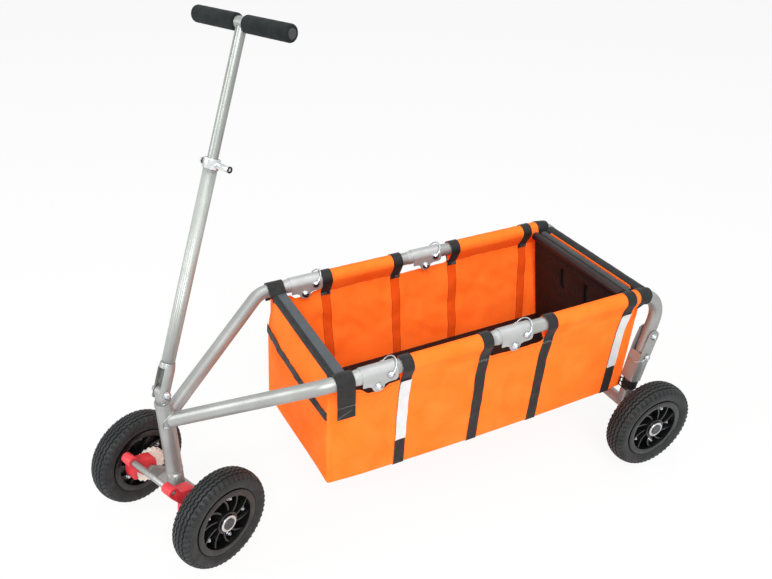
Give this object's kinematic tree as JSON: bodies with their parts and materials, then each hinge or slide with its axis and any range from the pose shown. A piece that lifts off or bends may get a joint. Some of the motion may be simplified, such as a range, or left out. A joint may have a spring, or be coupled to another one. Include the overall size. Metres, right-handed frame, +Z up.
{
  "type": "folding hand cart",
  "caption": "Folding pull cart: fabric basket hung on jointed tube rails, steered front axle with telescopic T-handle drawbar, ratchet brake and pneumatic-style wheels.",
  "frame": {"origin": "on the ground under the middle of the overall box", "axes": "+X forward towards the drawbar, +Y to the cart's left, +Z up"},
  "size_m": [1.2187, 0.572, 0.9577],
  "materials": {
    "silver_paint": "satin silver paint on steel tube",
    "zinc_steel": "bright zinc plate",
    "orange_fabric": "coated woven polyester",
    "black_webbing": "woven polypropylene webbing",
    "dark_board": "ribbed dark brown board",
    "pale_plastic": "moulded acetal",
    "grip_rubber": "soft foam grip",
    "red_plastic": "moulded nylon",
    "ivory_plastic": "moulded nylon",
    "tyre_rubber": "moulded rubber",
    "rim_plastic": "moulded nylon",
    "bearing_steel": "ground steel with a dark cap"
  },
  "bodies": {
    "frame_mid": {"mid_rails": "silver_paint", "mid_sleeves": "silver_paint", "mid_pivot_bolts": "zinc_steel", "mid_lock_pins": "zinc_steel", "basket_wall_left": "orange_fabric", "basket_wall_right": "orange_fabric", "basket_wall_front": "orange_fabric", "basket_wall_rear": "orange_fabric", "basket_floor": "orange_fabric", "floor_board": "dark_board", "rear_board": "dark_board", "front_board": "dark_board", "side_straps": "black_webbing", "front_straps": "black_webbing", "rear_tunnel": "black_webbing"},
    "front_frame": {"front_arm_left": "silver_paint", "front_arm_right": "silver_paint", "front_sleeves": "silver_paint", "head_tube": "silver_paint", "head_bushes": "pale_plastic", "front_pivot_bolts": "zinc_steel", "front_lock_pins": "zinc_steel"},
    "rear_frame": {"rear_rail_left": "silver_paint", "rear_rail_right": "silver_paint", "rear_cross_tube": "silver_paint"},
    "rear_legs": {"leg_channels": "silver_paint", "lower_legs": "silver_paint", "rear_axle_tube": "silver_paint", "rear_axle_shaft": "zinc_steel", "leg_pivot_bolts": "zinc_steel", "leg_lock_pins": "zinc_steel", "leg_straps": "black_webbing"},
    "steering": {"steerer_stem": "silver_paint", "front_axle_beam": "silver_paint", "front_axle_shaft": "zinc_steel"},
    "drawbar": {"drawbar_fork": "silver_paint", "drawbar_outer_tube": "silver_paint", "drawbar_bush": "pale_plastic", "clamp_collar": "pale_plastic", "drawbar_pivot_bolt": "zinc_steel"},
    "clamp": {"clamp_screw": "zinc_steel"},
    "handle": {"drawbar_inner_tube": "silver_paint", "handle_bar": "silver_paint", "handle_grips": "grip_rubber"},
    "brake": {"brake_levers": "red_plastic", "brake_rod": "silver_paint"},
    "wheel_front_left": {"tyre_front_left": "tyre_rubber", "rim_front_left": "rim_plastic", "hub_front_left": "bearing_steel", "ratchet_front_left": "ivory_plastic"},
    "wheel_front_right": {"tyre_front_right": "tyre_rubber", "rim_front_right": "rim_plastic", "hub_front_right": "bearing_steel", "ratchet_front_right": "ivory_plastic"},
    "wheel_rear_left": {"tyre_rear_left": "tyre_rubber", "rim_rear_left": "rim_plastic", "hub_rear_left": "bearing_steel"},
    "wheel_rear_right": {"tyre_rear_right": "tyre_rubber", "rim_rear_right": "rim_plastic", "hub_rear_right": "bearing_steel"}
  },
  "joints": [
    {"name": "frame_fold", "type": "hinge", "parent": "frame_mid", "child": "rear_frame", "pos_m": [-0.18, 0, 0.3635], "axis": [0, -1, 0], "range_deg": [0, 120], "deforming": ["basket_wall_left", "basket_wall_right", "basket_wall_front", "basket_wall_rear", "basket_floor", "floor_board", "rear_board", "front_board", "side_straps", "front_straps", "rear_tunnel", "mid_lock_pins", "front_lock_pins", "leg_lock_pins"]},
    {"name": "front_fold", "type": "hinge", "parent": "frame_mid", "child": "front_frame", "pos_m": [0.112, 0, 0.3635], "axis": [0, 1, 0], "range_deg": [0, 50]},
    {"name": "leg_fold", "type": "hinge", "parent": "rear_frame", "child": "rear_legs", "pos_m": [-0.54727, 0, 0.27651], "axis": [0, -1, 0], "range_deg": [0, 80]},
    {"name": "steer", "type": "hinge", "parent": "front_frame", "child": "steering", "pos_m": [0.459, 0, 0.2], "axis": [0, 0, 1], "range_deg": [-114, 66]},
    {"name": "drawbar_tilt", "type": "hinge", "parent": "steering", "child": "drawbar", "pos_m": [0.459, 0, 0.331], "axis": [-0.4067, 0.9135, 0], "range_deg": [0, 125]},
    {"name": "drawbar_slide", "type": "slide", "parent": "drawbar", "child": "handle", "axis": [-0.3599, -0.1602, 0.9191], "range_m": [-0.2, 0]},
    {"name": "clamp_turn", "type": "hinge", "parent": "drawbar", "child": "clamp", "pos_m": [0.30497, -0.06858, 0.72439], "axis": [-0.4067, 0.9135, 0], "range_deg": [0, 180]},
    {"name": "brake_press", "type": "hinge", "parent": "steering", "child": "brake", "pos_m": [0.4791, 0.00895, 0.131], "axis": [-0.4067, 0.9135, 0], "range_deg": [0, 14]},
    {"name": "spin_front_left", "type": "hinge", "parent": "steering", "child": "wheel_front_left", "pos_m": [0.40633, 0.1183, 0.1], "axis": [-0.4067, 0.9135, 0], "continuous": true},
    {"name": "spin_front_right", "type": "hinge", "parent": "steering", "child": "wheel_front_right", "pos_m": [0.51167, -0.1183, 0.1], "axis": [-0.4067, 0.9135, 0], "continuous": true},
    {"name": "spin_rear_left", "type": "hinge", "parent": "rear_legs", "child": "wheel_rear_left", "pos_m": [-0.512, 0.2575, 0.1], "axis": [0, 1, 0], "continuous": true},
    {"name": "spin_rear_right", "type": "hinge", "parent": "rear_legs", "child": "wheel_rear_right", "pos_m": [-0.512, -0.2575, 0.1], "axis": [0, 1, 0], "continuous": true}
  ],
  "couplings": [
    {"joint": "front_fold", "follows": "frame_fold", "ratio": 0.41667},
    {"joint": "leg_fold", "follows": "frame_fold", "ratio": 0.66667}
  ]
}
